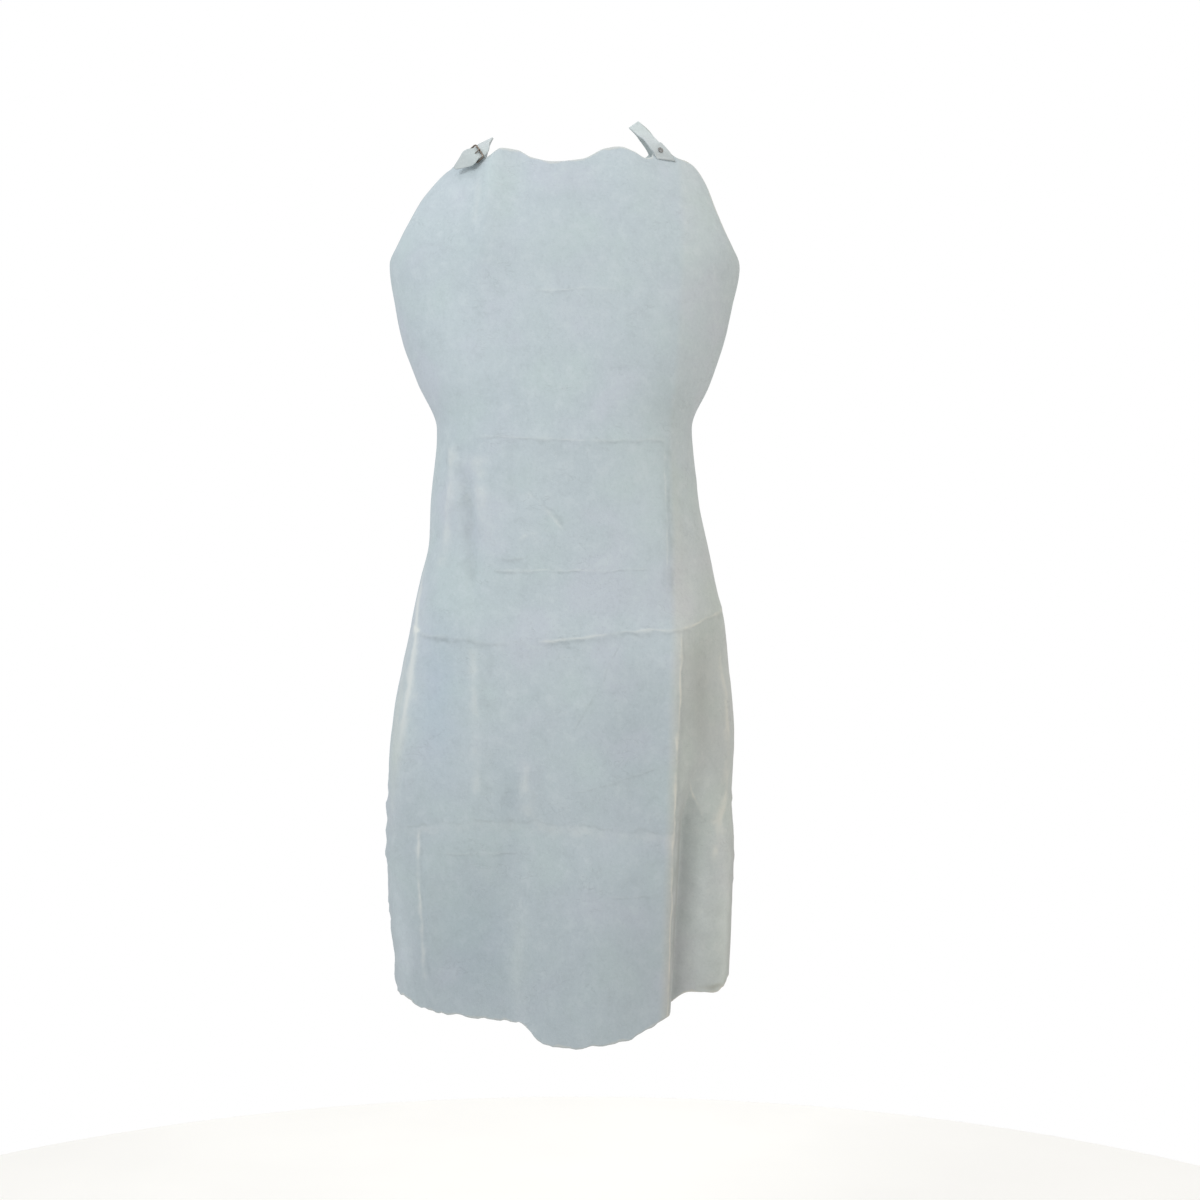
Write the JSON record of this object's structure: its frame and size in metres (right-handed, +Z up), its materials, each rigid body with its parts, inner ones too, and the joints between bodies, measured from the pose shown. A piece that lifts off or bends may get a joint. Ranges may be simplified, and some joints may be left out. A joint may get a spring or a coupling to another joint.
{
  "type": "leather work apron",
  "caption": "Grey split-leather work apron in its worn form: bib with armhole cut-outs and long skirt in one hide, buckled neck strap and strap across the back of the waist.",
  "frame": {"origin": "on the inner face of the neck strap, at its middle behind the neck, where the apron hangs", "axes": "+Z up, +X to the side of the riveted strap end, +Y from the apron's front to its back; the front looks along -Y"},
  "size_m": [0.4022, 0.2297, 1.0226],
  "materials": {
    "body_suede": "matt suede",
    "strap_suede": "matt suede",
    "tab_suede": "matt suede",
    "buckle_metal": "worn bronzed steel wire",
    "rivet_metal": "dull nickel"
  },
  "bodies": {
    "root": {"apron_body": "body_suede", "neck_strap": "strap_suede", "buckle_tab": "tab_suede", "neck_buckle": "buckle_metal", "buckle_prong": "buckle_metal", "neck_rivet": "rivet_metal", "waist_strap": "strap_suede"}
  },
  "joints": []
}
